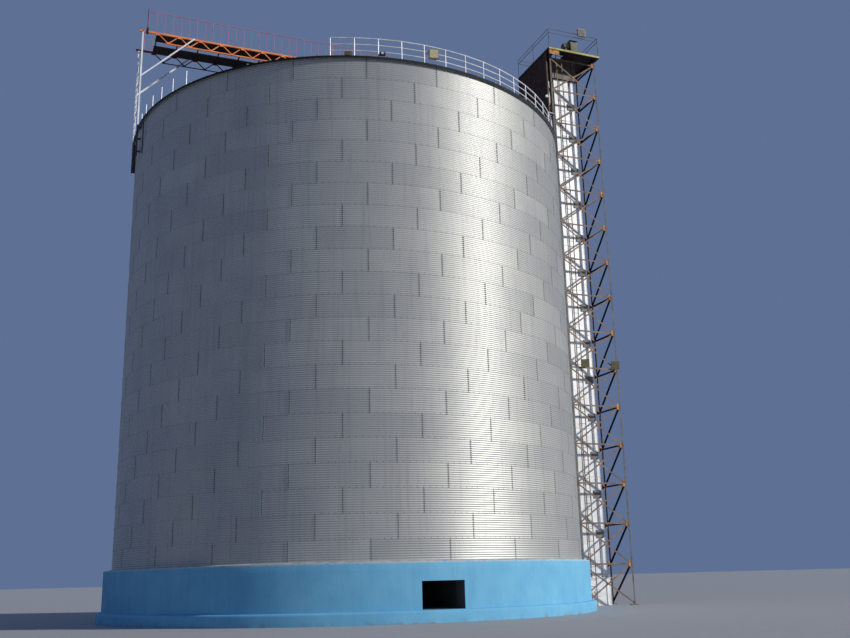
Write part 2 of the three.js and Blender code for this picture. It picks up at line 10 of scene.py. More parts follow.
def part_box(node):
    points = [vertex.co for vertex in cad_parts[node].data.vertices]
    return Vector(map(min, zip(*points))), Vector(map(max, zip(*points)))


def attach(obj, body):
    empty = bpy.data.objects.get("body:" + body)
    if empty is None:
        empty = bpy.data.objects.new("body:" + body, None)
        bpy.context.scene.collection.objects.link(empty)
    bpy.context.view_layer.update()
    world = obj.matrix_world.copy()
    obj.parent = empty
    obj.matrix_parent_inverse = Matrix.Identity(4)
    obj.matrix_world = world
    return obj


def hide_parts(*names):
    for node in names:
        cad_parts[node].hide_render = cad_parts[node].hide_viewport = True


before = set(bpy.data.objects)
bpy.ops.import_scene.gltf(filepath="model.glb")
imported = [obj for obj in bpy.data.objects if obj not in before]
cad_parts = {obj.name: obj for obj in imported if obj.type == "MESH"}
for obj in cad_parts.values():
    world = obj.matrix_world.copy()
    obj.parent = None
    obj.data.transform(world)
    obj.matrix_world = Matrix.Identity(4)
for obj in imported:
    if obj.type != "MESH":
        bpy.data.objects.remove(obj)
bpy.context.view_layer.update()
chance = random.Random(7)

# Driving dimensions, the solids' ones as in the frame: wall and base
SHEETS = 22
COURSES = 22
COURSE_HEIGHT = 0.88
WAVES = 11
ROWS = 6 * WAVES
BAYS = 3 * SHEETS
BAY = math.tau / BAYS
COLUMNS = 2 * BAYS
COLUMN = BAY / 2
SHEET_COLUMNS = COLUMNS // SHEETS
SEGMENTS = 6
SEGMENT = math.tau / SEGMENTS
WALL_FOOT = 1.94
WALL_CREST = 10.096
WAVE_DEPTH = 0.013
LAP = 0.003
BASE_OUTER = 10.41
BASE_INNER = 9.76
BASE_TOP = 2.04
QUARTER = 16 * BAY
FOUNDATION_RADIUS = 10.595
FOUNDATION_TOP = 0.43
SLAB_BOTTOM = 1.74
DOOR_WIDTH = 1.60
DOOR_HEIGHT = 0.955
DOOR_X = 0.05

# Roof and its railing
EAVE = 21.30
FASCIA = 0.03
ROOF_EDGE = 10.19
ROOF_HOLE = 0.50
ROOF_DEPTH = 0.065
ROOF_SLOPE = math.tan(math.radians(21))
RIB_END = 1.3
RAIL_RADIUS = 10.0
RAIL_HEIGHT = 0.85
LOWER_RAILS = (0.64, 0.31)
BARE_POST_HEIGHT = 0.75
BARE_SEGMENT = 4
SHORT_SEGMENT = 5
SHORT_BAYS = 4
FLOODLIGHT_ANGLE = math.radians(2.1)
HOODED_LAMP_ANGLE = math.radians(-10.1)
BOX_ANGLE = math.radians(-17.7)

# Gallery
GALLERY_Y = 0.90
GALLERY_START = -10.33
GALLERY_END = 2.27
GALLERY_TOP = 26.08
GALLERY_BOTTOM = 25.63
FIRST_NODE = -9.53
PANEL = 0.98
PANELS = 12
GALLERY_RAIL_TOP = 27.15
BALUSTER_PITCH = 0.3675
POST_EVERY = 4
ROD_X = GALLERY_START + 0.34
ROD_TOP = 27.28
CONVEYOR_Z = (25.42, 25.77)
CONVEYOR_HALF = 0.20

# Mast
MAST_X = -10.19
MAST_Y = 0.9753
MAST_LEG = 0.07
MAST_FOOT = 19.80
MAST_TOP = 26.04
BRACKETS = (20.0, 20.6, 21.15)
WALL_STRIP_Y = -1.50
WALL_STRIP_FOOT = 19.75
BRACE_START = 23.75
LADDER_X = -10.212
LADDER_Y = (0.18, 0.78)
LADDER_TOP = 25.40
MAST_TIES = (22.3, 23.7, 25.1)
RUNG_PITCH = 0.30

# Elevator tower
TOWER_X = (11.175, 13.925)
TOWER_MIDDLE = sum(TOWER_X) / 2
TOWER_Y = 0.93
TOWER_LEG = 0.10
FRONT_LEGS = (TOWER_LEG, 0.075)
BACK_LEG = 0.06
TOWER_BAR = 0.06
FRONT_BAR = 0.080
TOWER_DIAGONAL = 0.072
SIDE_BAR = 0.07
TOWER_PANEL = 1.92
TOWER_PANELS = 15
ROOM_PANELS = 2
LEG_TOP = 29.0297
STRINGERS_X = (11.64, 11.98)
STRINGER_Y = -0.80
TOWER_LAMPS_X = (11.98, 13.74)
TOWER_LAMPS_Z = 11.70
TOWER_LAMPS_NODE = 9

# Head platform and head room
PLATFORM_X = (10.90, 14.05)
PLATFORM_Y = (-1.40, 2.25)
PLATFORM_TOP = 29.20
PLATE = 0.05
SKIRT = 0.15
ROOM_FLOOR = 25.40
ROOM_END = 13.10

# Camera as solved from the photo: heading from +Y, pitch and roll in degrees, lens in mm
CAMERA = (-13.27, -42.09, 1.476)
CAMERA_TURN = (22.09, 15.03, -1.41)
LENS = 40.85

# Sky and sun, its bearing and height in degrees
SKY = (0.112, 0.164, 0.295, 1)
SUN_TURN = (52, 23)

# Upwards, the corners of a square and the sides of the gallery
UP = Vector((0, 0, 1))
SQUARE = ((-1, -1), (1, -1), (1, 1), (-1, 1))
SIDES = ((-1, "near"), (1, "far"))


def colour(seen):
    """A colour given as it looks on screen, 0 to 255, as the linear values that a shader takes."""
    return tuple((v / 255) ** 2.2 for v in seen) + (1.0,)


def roof_top(radius):
    return EAVE + FASCIA + (ROOF_EDGE - radius) * ROOF_SLOPE


def at(radius, angle, height):
    """A point by its distance from the axis and its angle from -Y towards +X."""
    return Vector((radius * math.sin(angle), -radius * math.cos(angle), height))


# Materials

RUST = (112, 60, 34)
DULL_RUST = (98, 82, 70)


class Finish:
    """A material whose colour, roughness and bump come from noise in the part's own space."""

    def __init__(self, name, metallic, roughness):
        self.material = bpy.data.materials.new(name)
        self.material.use_nodes = True
        self.tree = self.material.node_tree
        self.shader = self.tree.nodes["Principled BSDF"]
        self.shader.inputs["Metallic"].default_value = metallic
        self.shader.inputs["Roughness"].default_value = roughness
        self.place = self.tree.nodes.new("ShaderNodeTexCoord").outputs["Object"]

    def node(self, kind, output, inputs, **settings):
        """Makes a node, joins or sets its inputs and gives one of its outputs."""
        made = self.tree.nodes.new("ShaderNode" + kind)
        for name, value in settings.items():
            setattr(made, name, value)
        for name, value in inputs.items():
            if isinstance(value, bpy.types.NodeSocket):
                self.tree.links.new(value, made.inputs[name])
            else:
                made.inputs[name].default_value = value
        return made.outputs[output]

    def noise(self, size, detail=3.0, stretch=(1, 1, 1)):
        """Noise between 0 and 1 with patches of about the given size in metres."""
        scale = [1 / (size * s) for s in stretch]
        place = self.node("Mapping", "Vector", {"Vector": self.place, "Scale": scale})
        return self.node("TexNoise", "Fac", {"Vector": place, "Scale": 1.0, "Detail": detail})

    def streaks(self, width, length=25):
        """Noise drawn out downwards, as rain leaves it."""
        return self.noise(width, 4.0, (1, 1, length))

    def level(self, source, low, high, to_low=0.0, to_high=1.0):
        """Source's values from low to high, spread over the new span and held inside it."""
        return self.node("MapRange", "Result", {
            "Value": source, "From Min": low, "From Max": high, "To Min": to_low, "To Max": to_high
        })

    def times(self, a, b):
        return self.node("Math", "Value", {0: a, 1: b}, operation="MULTIPLY")

    def mix(self, factor, first, second):
        """Goes from the first colour to the second as factor goes from 0 to 1."""
        first, second = (colour(v) if isinstance(v, tuple) else v for v in (first, second))
        return self.node("Mix", 2, {"Factor": factor, 6: first, 7: second}, data_type="RGBA")

    def height(self):
        """The height above the ground, in metres."""
        return self.node("SeparateXYZ", "Z", {"Vector": self.place})

    def distance(self):
        """The distance from the silo's axis, in metres."""
        flat = self.node("VectorMath", "Vector", {0: self.place, 1: (1, 1, 0)},
                         operation="MULTIPLY")
        return self.node("VectorMath", "Value", {0: flat}, operation="LENGTH")

    def paint(self, source):
        self.tree.links.new(source, self.shader.inputs["Base Color"])

    def gloss(self, source):
        self.tree.links.new(source, self.shader.inputs["Roughness"])

    def bump(self, source, distance, strength=1.0):
        normal = self.node("Bump", "Normal", {
            "Height": source, "Distance": distance, "Strength": strength
        })
        self.tree.links.new(normal, self.shader.inputs["Normal"])


def wall_sheet():
    """Dull galvanised steel, each sheet a little lighter, darker or more matt than the next."""
    made = Finish("galvanised_wall", 0.48, 0.46)
    tone = made.node("Attribute", "Fac", {}, attribute_name="sheet_tone")
    sheet = made.mix(tone, (177, 178, 173), (187, 187, 181))
    patch = made.level(made.noise(1.6), 0.4, 0.7, 0, 0.4)
    sheet = made.mix(patch, sheet, (160, 160, 163))
    grime = made.level(made.streaks(0.12), 0.52, 0.78, 0, 0.3)
    made.paint(made.mix(grime, sheet, (134, 131, 127)))
    made.gloss(made.level(tone, 0, 1, 0.42, 0.46))
    made.bump(made.noise(0.35, 2.0), 0.003, 0.2)
    return made.material


def galvanised():
    made = Finish("galvanised_plain", 0.7, 0.4)
    patch = made.level(made.noise(0.25), 0.35, 0.7)
    sheet = made.mix(patch, (150, 155, 160), (178, 182, 184))
    grime = made.level(made.streaks(0.1), 0.5, 0.75, 0, 0.5)
    made.paint(made.mix(grime, sheet, (116, 112, 106)))
    made.gloss(made.level(patch, 0, 1, 0.34, 0.5))
    made.bump(made.noise(0.05), 0.002, 0.4)
    return made.material


def base_paint():
    """Light blue masonry paint, worn at the top edge with a painted highlight, soiled near the
    ground, bare inside with painted shade.
    """
    made = Finish("blue_masonry_paint", 0.0, 0.8)
    patch = made.level(made.noise(0.9, 5.0), 0.35, 0.7)
    paint = made.mix(patch, (100, 169, 205), (112, 179, 212))
    streak = made.level(made.streaks(0.18, 8), 0.5, 0.8, 0, 0.25)
    paint = made.mix(streak, paint, (82, 136, 168))
    height = made.height()
    low = made.level(height, 0.0, 0.20, 1, 0)
    splash = made.times(low, made.level(made.noise(0.3, 6.0), 0.45, 0.75))
    paint = made.mix(splash, paint, (120, 128, 132))
    # A lighter band along the top edge, partly worn paint and partly a painted highlight where the
    # edge catches the light.
    edge = made.level(height, BASE_TOP - 0.07, BASE_TOP - 0.01)
    worn = made.times(edge, made.level(made.noise(0.2, 5.0), 0.35, 0.5))
    paint = made.mix(worn, paint, (176, 184, 184))
    # Inside the ring the paint gives way to bare concrete, darker than the cast concrete, partly
    # painted shade of the doorway.
    bare = made.level(made.distance(), BASE_OUTER - 0.05, BASE_OUTER - 0.03, 1, 0)
    within = made.level(height, BASE_TOP - 0.05, BASE_TOP - 0.04, 1, 0)
    above = made.level(height, FOUNDATION_TOP - 0.01, FOUNDATION_TOP + 0.01)
    inside = made.times(bare, made.times(within, above))
    made.paint(made.mix(inside, paint, (92, 88, 84)))
    made.bump(made.noise(0.06, 6.0), 0.006, 0.5)
    return made.material


def masonry(name, dark, light):
    made = Finish(name, 0.0, 0.9)
    patch = made.level(made.noise(0.5, 6.0), 0.35, 0.7)
    made.paint(made.mix(patch, dark, light))
    made.bump(made.noise(0.05, 6.0), 0.006, 0.6)
    return made.material


def painted_steel(name, light, dark, rust_from, roughness=0.55, rust=RUST, dark_and_shaded_below=None):
    """Paint in two tones with rust where the noise passes rust_from, maybe dark at its foot as
    dark paint and painted shade.
    """
    made = Finish(name, 0.15, roughness)
    patch = made.level(made.noise(0.4, 4.0), 0.35, 0.68)
    paint = made.mix(patch, light, dark)
    grime = made.level(made.streaks(0.08, 12), 0.52, 0.8, 0, 0.6)
    paint = made.mix(grime, paint, dark)
    if dark_and_shaded_below:
        foot = made.level(made.height(), dark_and_shaded_below - 0.05, dark_and_shaded_below + 0.05, 1, 0)
        # Below that height the paint goes to dark grey, partly dark paint and partly painted
        # shade.
        paint = made.mix(foot, paint, (72, 70, 75))
    rusty = made.level(made.noise(0.16, 7.0), rust_from, rust_from + 0.08)
    made.paint(made.mix(rusty, paint, rust))
    made.gloss(made.level(rusty, 0, 1, roughness, 0.9))
    made.bump(made.noise(0.03, 6.0), 0.003, 0.5)
    return made.material


def ribbed_glass(name, dark, light):
    made = Finish(name, 0.0, 0.2)
    ribs = made.level(made.noise(0.02, 2.0, (1, 4, 4)), 0.4, 0.6)
    made.paint(made.mix(ribs, dark, light))
    made.gloss(made.level(ribs, 0, 1, 0.15, 0.3))
    made.bump(ribs, 0.002, 0.4)
    return made.material


# Name, paint, worn paint, where rust starts, roughness, rust, height that it is dark below (dark
# paint and painted shade)
PAINTS = {
    "white_paint": ("white_steel_paint", (236, 238, 240), (196, 198, 200), 0.68, 0.42),
    "casing_paint": ("white_casing_paint", (242, 243, 243), (216, 217, 218), 0.72, 0.42),
    # the mast is dark below the eave, partly dark paint and partly painted shade under the roof's
    # edge
    "mast_paint": ("white_mast_paint", (244, 245, 246), (212, 214, 218), 0.66, 0.45, RUST, EAVE),
    "orange_paint": ("orange_primer", (244, 150, 84), (214, 116, 70), 0.64),
    # the far truss's dark orange is painted shade: the orange primer darkened
    "shaded_orange_paint": ("dull_orange_primer", (120, 58, 40), (90, 44, 34), 0.6, 0.7),
    "red_paint": ("faded_red", (206, 130, 140), (170, 100, 120), 0.68),
    "rusty_paint": ("brown_steel_paint", (136, 112, 96), (94, 78, 66), 0.6, 0.7, (132, 78, 46)),
    "leg_paint": ("grey_leg_paint", (108, 106, 98), (74, 72, 68), 0.64, 0.7),
    # the side braces' near-black is painted shade: the brown steel paint darkened for faces turned
    # from the light
    "shaded_brace_paint": ("soiled_steel_paint", (40, 34, 40), (26, 22, 28), 0.7, 0.8),
    "ladder_paint": ("grey_brown_ladder_paint", (150, 140, 128), (110, 100, 90), 0.62, 0.7),
    "post_paint": ("brown_post_paint", (120, 86, 62), (84, 60, 46), 0.6, 0.7),
    "gusset_paint": ("orange_gussets", (196, 140, 84), (150, 104, 62), 0.58, 0.7),
    "rail_paint": ("grey_brown_rail_paint", (128, 122, 130), (92, 84, 90), 0.6, 0.7),
    "dark_sheet": ("dark_brown_sheet", (50, 38, 36), (34, 27, 29), 0.62, 0.8, (84, 50, 34)),
    "cladding_paint": (
        "rusty_brown_cladding", (72, 48, 44), (50, 35, 34), 0.56, 0.8, (104, 62, 42)
    ),
    "edge_paint": ("yellow_green_edge", (172, 164, 92), (140, 132, 72), 0.64),
    # the flashing's near-black is partly its own dark paint and partly painted shade of the eave
    "eave_flashing": ("grey_green_flashing", (26, 29, 28), (18, 20, 20), 0.68, 0.8),
    "green_paint": ("machine_green", (98, 100, 80), (60, 62, 50), 0.66, 0.5),
    # the head's dark grey is partly its paint and partly painted shade under the platform
    "grey_paint": ("grey_head_paint", (112, 102, 96), (84, 76, 70), 0.68, 0.6),
    "clamp_paint": ("grey_clamp_paint", (118, 124, 122), (96, 100, 98), 0.66, 0.6),
    "lamp_housing": ("lamp_housing", (160, 144, 112), (124, 110, 86), 0.66, 0.5),
    # the seam strips' grey is partly sealant and partly painted shade of the sheets' lap
    "sealant": ("dark_sealant", (112, 111, 107), (90, 89, 86), 0.6, 0.8, DULL_RUST),
    "zinc_bolt": ("dull_zinc_bolts", (152, 153, 152), (126, 126, 126), 0.6, 0.6, DULL_RUST),
}
FINISHES = {
    "galvanised_wall": wall_sheet(),
    "galvanised_sheet": galvanised(),
    "base_paint": base_paint(),
    "bare_concrete": masonry("cast_concrete", (110, 106, 100), (140, 136, 129)),
    "mortar": masonry("grey_mortar", (150, 152, 150), (188, 190, 186)),
    "lamp_glass": ribbed_glass("pale_lamp_glass", (182, 172, 126), (208, 200, 162)),
    "olive_glass": ribbed_glass("olive_lamp_glass", (112, 106, 76), (146, 142, 108)),
    "dull_glass": ribbed_glass("dull_lamp_glass", (98, 95, 88), (124, 122, 118)),
}
FINISHES.update({finish: painted_steel(*looks) for finish, looks in PAINTS.items()})


# Outlines, each a ring of (across, up) points seen from the start of a beam

def round_bar(radius, sides=8):
    turn = math.tau / sides
    return [(radius * math.cos(i * turn), radius * math.sin(i * turn)) for i in range(sides)]


def flat_bar(width, height):
    w, h = width / 2, height / 2
    return [(-w, -h), (w, -h), (w, h), (-w, h)]


def angle_iron(leg, thickness):
    """An L with its corner at the outline's origin, legs to the right and upwards."""
    t = thickness
    return [(0, 0), (leg, 0), (leg, t), (t, t), (t, leg), (0, leg)]


def face_angle(leg, thickness):
    """An L for a bar of a lattice: one flange flat in the face, the other turned inwards."""
    h, t = leg / 2, thickness
    return [(-h, -leg), (t - h, -leg), (t - h, -t), (h, -t), (h, 0), (-h, 0)]


def trapezium(foot, crest, height):
    return [(-foot / 2, 0), (foot / 2, 0), (crest / 2, height), (-crest / 2, height)]


def channel(depth, height, thickness):
    """A C whose back is on the left and whose open side is on the right."""
    h, t = height / 2, thickness
    return [(0, -h), (depth, -h), (depth, t - h), (t, t - h),
            (t, h - t), (depth, h - t), (depth, h), (0, h)]


def mirrored(outline):
    return [(-u, v) for u, v in reversed(outline)]


def handed(outline, side):
    """The outline as it stands for side 1, mirrored for side -1."""
    return outline if side > 0 else mirrored(outline)


class Shape:
    """The points and faces of one piece, gathered member by member."""

    def __init__(self):
        self.points = []
        self.faces = []

    def add(self, points, faces):
        first = len(self.points)
        self.points += [tuple(p) for p in points]
        self.faces += [tuple(first + i for i in face) for face in faces]

    def loft(self, rings, closed=False):
        """Joins rings of equally many points, and closes the ends unless they meet."""
        count = len(rings[0])
        faces = []
        spans = len(rings) if closed else len(rings) - 1
        for r in range(spans):
            here, there = r * count, (r + 1) % len(rings) * count
            for i in range(count):
                j = (i + 1) % count
                faces.append((here + i, there + i, there + j, here + j))
        if not closed:
            last = (len(rings) - 1) * count
            faces.append(range(count))
            faces.append([last + i for i in reversed(range(count))])
        self.add([p for ring in rings for p in ring], faces)

    def beam(self, start, end, outline, up=UP):
        """Carries an outline straight from start to end."""
        start, end = Vector(start), Vector(end)
        along = (end - start).normalized()
        across = along.cross(Vector(up)).normalized()
        rise = across.cross(along)
        ring = [across * u + rise * v for u, v in outline]
        self.loft([[start + p for p in ring], [end + p for p in ring]])

    def prism(self, points, low, high):
        """Raises a level outline from one height above it to another."""
        self.loft([[Vector(p) + UP * z for p in points] for z in (low, high)])

    def tube(self, start, end, radius, sides=8):
        upright = abs((Vector(end) - Vector(start)).normalized().z) > 0.99
        self.beam(start, end, round_bar(radius, sides), (0, 1, 0) if upright else UP)

    def post(self, x, y, low, high, radius, sides=8):
        self.tube((x, y, low), (x, y, high), radius, sides)

    def block(self, low, high):
        (x0, y0, z0), (x1, y1, z1) = low, high
        self.loft([[(x, y0, z0), (x, y1, z0), (x, y1, z1), (x, y0, z1)] for x in (x0, x1)])

    def plate(self, centre, normal, width, height, thickness, up=UP):
        """A flat plate square to normal."""
        centre = Vector(centre)
        half = Vector(normal).normalized() * thickness / 2
        self.beam(centre - half, centre + half, flat_bar(width, height), up)

    def ladder(self, feet, low, top, stringer, rung):
        """Two square stringers on their (x, y) feet with round rungs between them."""
        for x, y in feet:
            self.beam((x, y, low), (x, y, top), flat_bar(stringer, stringer), (0, 1, 0))
        z = low + RUNG_PITCH
        while z < top:
            self.tube(*((x, y, z) for x, y in feet), rung)
            z += RUNG_PITCH

    def ring(self, profile, start, end, steps):
        """Sweeps a closed profile of (radius, height) points round the axis."""
        closed = end - start > math.tau - 1e-6
        stops = steps if closed else steps + 1
        angles = [start + (end - start) * i / steps for i in range(stops)]
        self.loft([[at(r, a, z) for r, z in profile] for a in angles], closed)


def piece(name, shape, finish, stands_for=(), smooth=0):
    """Makes one named piece from a shape, its edges under smooth degrees shaded as round."""
    mesh = bpy.data.meshes.new(name)
    mesh.from_pydata(shape.points, [], shape.faces)
    work = bmesh.new()
    work.from_mesh(mesh)
    bmesh.ops.recalc_face_normals(work, faces=work.faces)
    work.to_mesh(mesh)
    work.free()
    if smooth:
        mesh.shade_smooth()
        mesh.set_sharp_from_angle(angle=math.radians(smooth))
    place(name, mesh, finish, stands_for)


def show(name, data):
    """Puts an object with this data in the scene."""
    made = bpy.data.objects.new(name, data)
    bpy.context.scene.collection.objects.link(made)
    return made


def place(name, mesh, finish, stands_for=()):
    """Shows a mesh as a piece that rides on the one body the part has."""
    mesh.materials.append(FINISHES[finish])
    made = show(name, mesh)
    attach(made, "root")
    if stands_for:
        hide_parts(*stands_for)


def keep(finish, *nodes):
    """Leaves CAD nodes showing, with a better material."""
    for node in nodes:
        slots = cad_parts[node].data.materials
        slots.clear()
        slots.append(FINISHES[finish])


# Corrugated wall

def first_seam(course):
    """Column of the first seam of a course; the seams step by a third of a sheet."""
    return (1 + 2 * course) % SHEET_COLUMNS


def wall_radius(share):
    """Distance of the sheet from the axis at a share of its course's height."""
    wave = (1 - math.cos(math.tau * WAVES * share)) / 2
    return WALL_CREST - WAVE_DEPTH * wave - LAP * share


def wall_slope(share):
    rate = math.sin(math.tau * WAVES * share) * math.pi * WAVES / COURSE_HEIGHT
    return -WAVE_DEPTH * rate - LAP / COURSE_HEIGHT


def build_wall():
    tones = [[chance.random() for _ in range(SHEETS)] for _ in range(COURSES)]
    per_segment = COLUMNS // SEGMENTS
    wide = per_segment + 1
    for n in range(SEGMENTS):
        points, normals, faces, tone = [], [], [], []
        for course in range(COURSES):
            foot = WALL_FOOT + course * COURSE_HEIGHT
            start = len(points)
            for row in range(ROWS + 1):
                share = row / ROWS
                radius, slope = wall_radius(share), wall_slope(share)
                for c in range(wide):
                    angle = (n * per_segment + c) * COLUMN
                    points.append(at(radius, angle, foot + share * COURSE_HEIGHT))
                    normals.append(at(1, angle, -slope).normalized())
            # the row after the last one joins a course to the next
            for row in range(ROWS + 1 if course < COURSES - 1 else ROWS):
                for c in range(per_segment):
                    a = start + row * wide + c
                    faces.append((a, a + 1, a + wide + 1, a + wide))
                    column = n * per_segment + c
                    sheet = (column - first_seam(course)) // SHEET_COLUMNS % SHEETS
                    tone.append(tones[course][sheet])
        name = f"wall_sheets_{n + 1}"
        mesh = bpy.data.meshes.new(name)
        mesh.from_pydata(points, [], faces)
        mesh.shade_smooth()
        mesh.normals_split_custom_set_from_vertices(normals)
        layer = mesh.attributes.new("sheet_tone", "FLOAT", "FACE")
        layer.data.foreach_set("value", tone)
        place(name, mesh, "galvanised_wall", [f"wall_segment_{n + 1}"])


def bolt(shape, angle, height):
    """A bolt head on the wall, smaller at its top, its back left open."""
    size, proud, small = 0.010, 0.008, 0.6
    turn = size / WALL_CREST
    points = [at(radius, angle + share * u * turn, height + share * v * size)
              for radius, share in ((WALL_CREST - 0.002, 1), (WALL_CREST + proud, small))
              for u, v in SQUARE]
    shape.add(points, [(0, 1, 5, 4), (1, 2, 6, 5), (2, 3, 7, 6), (3, 0, 4, 7), (4, 5, 6, 7)])


def wall_seam(seals, bolts, foot, angle):
    """A sealed edge between two sheets with the bolts beside it, and those of the lap below; its
    strip is dark partly as sealant and partly as painted shade of the lap.
    """
    edge, gauge = 0.010 / WALL_CREST, 0.030 / WALL_CREST
    proud, lap_margin, lap_bolts = 0.0025, 0.02, 12
    points = []
    for row in range(ROWS + 1):
        z = foot + row / ROWS * COURSE_HEIGHT
        r = wall_radius(row / ROWS) + proud
        points += [at(r, angle - edge, z), at(r, angle + edge, z)]
    seals.add(points, [(2 * i, 2 * i + 1, 2 * i + 3, 2 * i + 2) for i in range(ROWS)])
    for wave in range(WAVES):
        z = foot + wave / WAVES * COURSE_HEIGHT
        bolt(bolts, angle - gauge, z)
        bolt(bolts, angle + gauge, z)
    for n in range(1, lap_bolts):
        bolt(bolts, angle + n * SHEET_COLUMNS * COLUMN / lap_bolts, foot + lap_margin)


def build_wall_seams():
    """The seams and bolts in two halves, so that no piece gets too many triangles."""
    for low, high, name in ((0, COURSES // 2, "lower"), (COURSES // 2, COURSES, "upper")):
        seals, bolts = Shape(), Shape()
        for course in range(low, high):
            for sheet in range(SHEETS):
                angle = (first_seam(course) + SHEET_COLUMNS * sheet) * COLUMN
                wall_seam(seals, bolts, WALL_FOOT + course * COURSE_HEIGHT, angle)
        piece(f"wall_seals_{name}", seals, "sealant", smooth=60)
        piece(f"wall_bolts_{name}", bolts, "zinc_bolt")


# Painted base

def painted_ring(name, profile, start, end):
    shape = Shape()
    shape.ring(profile, start, end, max(4, round((end - start) / (COLUMN / 2))))
    piece(name, shape, "base_paint", [name], smooth=35)


def rounded(radius, height, soft, steps):
    """Points of a rounded upper edge, from its foot to its top."""
    turns = [math.pi / 2 * i / steps for i in range(steps + 1)]
    return [(radius - soft * (1 - math.cos(t)), height - soft * (1 - math.sin(t))) for t in turns]


def build_base():
    gap = 0.0003
    # half the gap as an angle, 10 m from the axis
    turn = gap / 20
    core = 0.05
    middle = DOOR_X / BASE_OUTER
    jamb = math.asin(DOOR_WIDTH / 2 / BASE_OUTER)
    low, high = FOUNDATION_TOP + gap, SLAB_BOTTOM - gap
    wall = [(BASE_INNER, low), (BASE_OUTER, low), (BASE_OUTER, high), (BASE_INNER, high)]
    ends = (middle + jamb, QUARTER, math.pi, math.tau - QUARTER, math.tau + middle - jamb)
    names = ("front_right", "back_right", "back_left", "front_left")
    for name, start, end in zip(names, ends, ends[1:]):
        painted_ring(f"base_wall_{name}", wall, start + turn, end - turn)
    over = [(r, z if z == high else FOUNDATION_TOP + DOOR_HEIGHT) for r, z in wall]
    painted_ring("door_lintel", over, middle - jamb + 2 * turn, middle + jamb - 2 * turn)
    for name, radius, foot, top, soft, steps in (
            ("silo_floor", BASE_OUTER, SLAB_BOTTOM, BASE_TOP, 0.015, 2),
            ("foundation_slab", FOUNDATION_RADIUS, 0, FOUNDATION_TOP, 0.09, 5)):
        disc = [(core, foot), (radius, foot), *rounded(radius, top, soft, steps), (core, top)]
        painted_ring(name, disc, 0, math.tau)

    grout = Shape()
    foot, edge = WALL_CREST - 0.03, BASE_OUTER - 0.17
    fillet = [(foot, BASE_TOP - 0.005), (edge, BASE_TOP - 0.005), (edge, BASE_TOP + 0.012),
              (WALL_CREST + 0.03, BASE_TOP + 0.05), (foot, BASE_TOP + 0.06)]
    grout.ring(fillet, 0, math.tau, COLUMNS)
    piece("base_grout", grout, "mortar", smooth=30)


# Roof with its ribs and eave trim

def build_roof():
    inner = WALL_CREST - 0.056
    profile = [
        (inner, EAVE), (ROOF_EDGE, EAVE), (ROOF_EDGE, EAVE + FASCIA),
        (ROOF_HOLE, roof_top(ROOF_HOLE)), (ROOF_HOLE, roof_top(ROOF_HOLE) - ROOF_DEPTH),
        (inner, roof_top(inner) - ROOF_DEPTH),
    ]
    rib = [(u, v - 0.01) for u, v in trapezium(0.07, 0.035, 0.055)]
    joint = 0.0006
    for n in range(SEGMENTS):
        shape = Shape()
        start = n * SEGMENT
        shape.ring(profile, start, start + SEGMENT - joint, COLUMNS // SEGMENTS)
        for bay in range(BAYS // SEGMENTS):
            angle = start + (bay + 0.5) * BAY
            ends = [at(radius, angle, roof_top(radius)) for radius in (ROOF_EDGE, RIB_END)]
            shape.beam(*ends, rib)
        piece(f"roof_sheets_{n + 1}", shape, "galvanised_sheet", [f"roof_sector_{n + 1}"],
              smooth=30)
    # The trim hangs below the eave in the near-black flashing, partly a drip edge and partly
    # painted shade under the eave.
    trim = Shape()
    inside, outside = ROOF_EDGE - 0.004, ROOF_EDGE + 0.006
    low, high = EAVE - 0.05, EAVE + FASCIA + 0.01
    trim.ring([(inside, low), (outside, low), (outside, high), (inside, high)],
              0, math.tau, COLUMNS)
    piece("eave_trim", trim, "eave_flashing", smooth=30)


def build_eave_railing():
    foot = roof_top(RAIL_RADIUS)
    bays = BAYS // SEGMENTS
    for n in range(SEGMENTS):
        bare = n == BARE_SEGMENT
        top = foot + (BARE_POST_HEIGHT if bare else RAIL_HEIGHT) - 0.02
        rails = [(foot + 0.04, 0.02)] if bare else [(top, 0.026)] + [
            (foot + RAIL_HEIGHT * share, 0.022) for share in LOWER_RAILS]
        post = 0.016 if bare else 0.024
        first = bays - SHORT_BAYS if n == SHORT_SEGMENT else 0
        shape = Shape()
        for bay in range(first, bays + bare):
            angle = n * SEGMENT + bay * BAY
            here = at(RAIL_RADIUS, angle, 0)
            there = at(RAIL_RADIUS, angle + BAY, 0)
            shape.tube(here + UP * foot, here + UP * top, post)
            if bay < bays:
                for z, radius in rails:
                    shape.tube(here + UP * z, there + UP * z, radius)
        piece(f"eave_rails_{n + 1}", shape, "white_paint", [f"eave_railing_{n + 1}"], smooth=30)
    build_eave_lamps(foot)


def lamp_box(housing, glass, centre, out, width, height, depth):
    """A box-shaped lamp with a glass front, facing out."""
    across = UP.cross(out).normalized()
    rise = out.cross(across)
    back = centre - out * depth
    rim, pane = 0.86, 0.008
    rings = []
    for share, at_depth in ((0.7, 0.0), (1.0, 0.45), (1.0, 1.0)):
        w, h = share * width / 2, share * height / 2
        middle = back + out * depth * at_depth
        rings.append([middle + across * u * w + rise * v * h for u, v in SQUARE])
    housing.loft(rings)
    glass.plate(centre + out * (pane / 2), out, rim * width, rim * height, pane, rise)


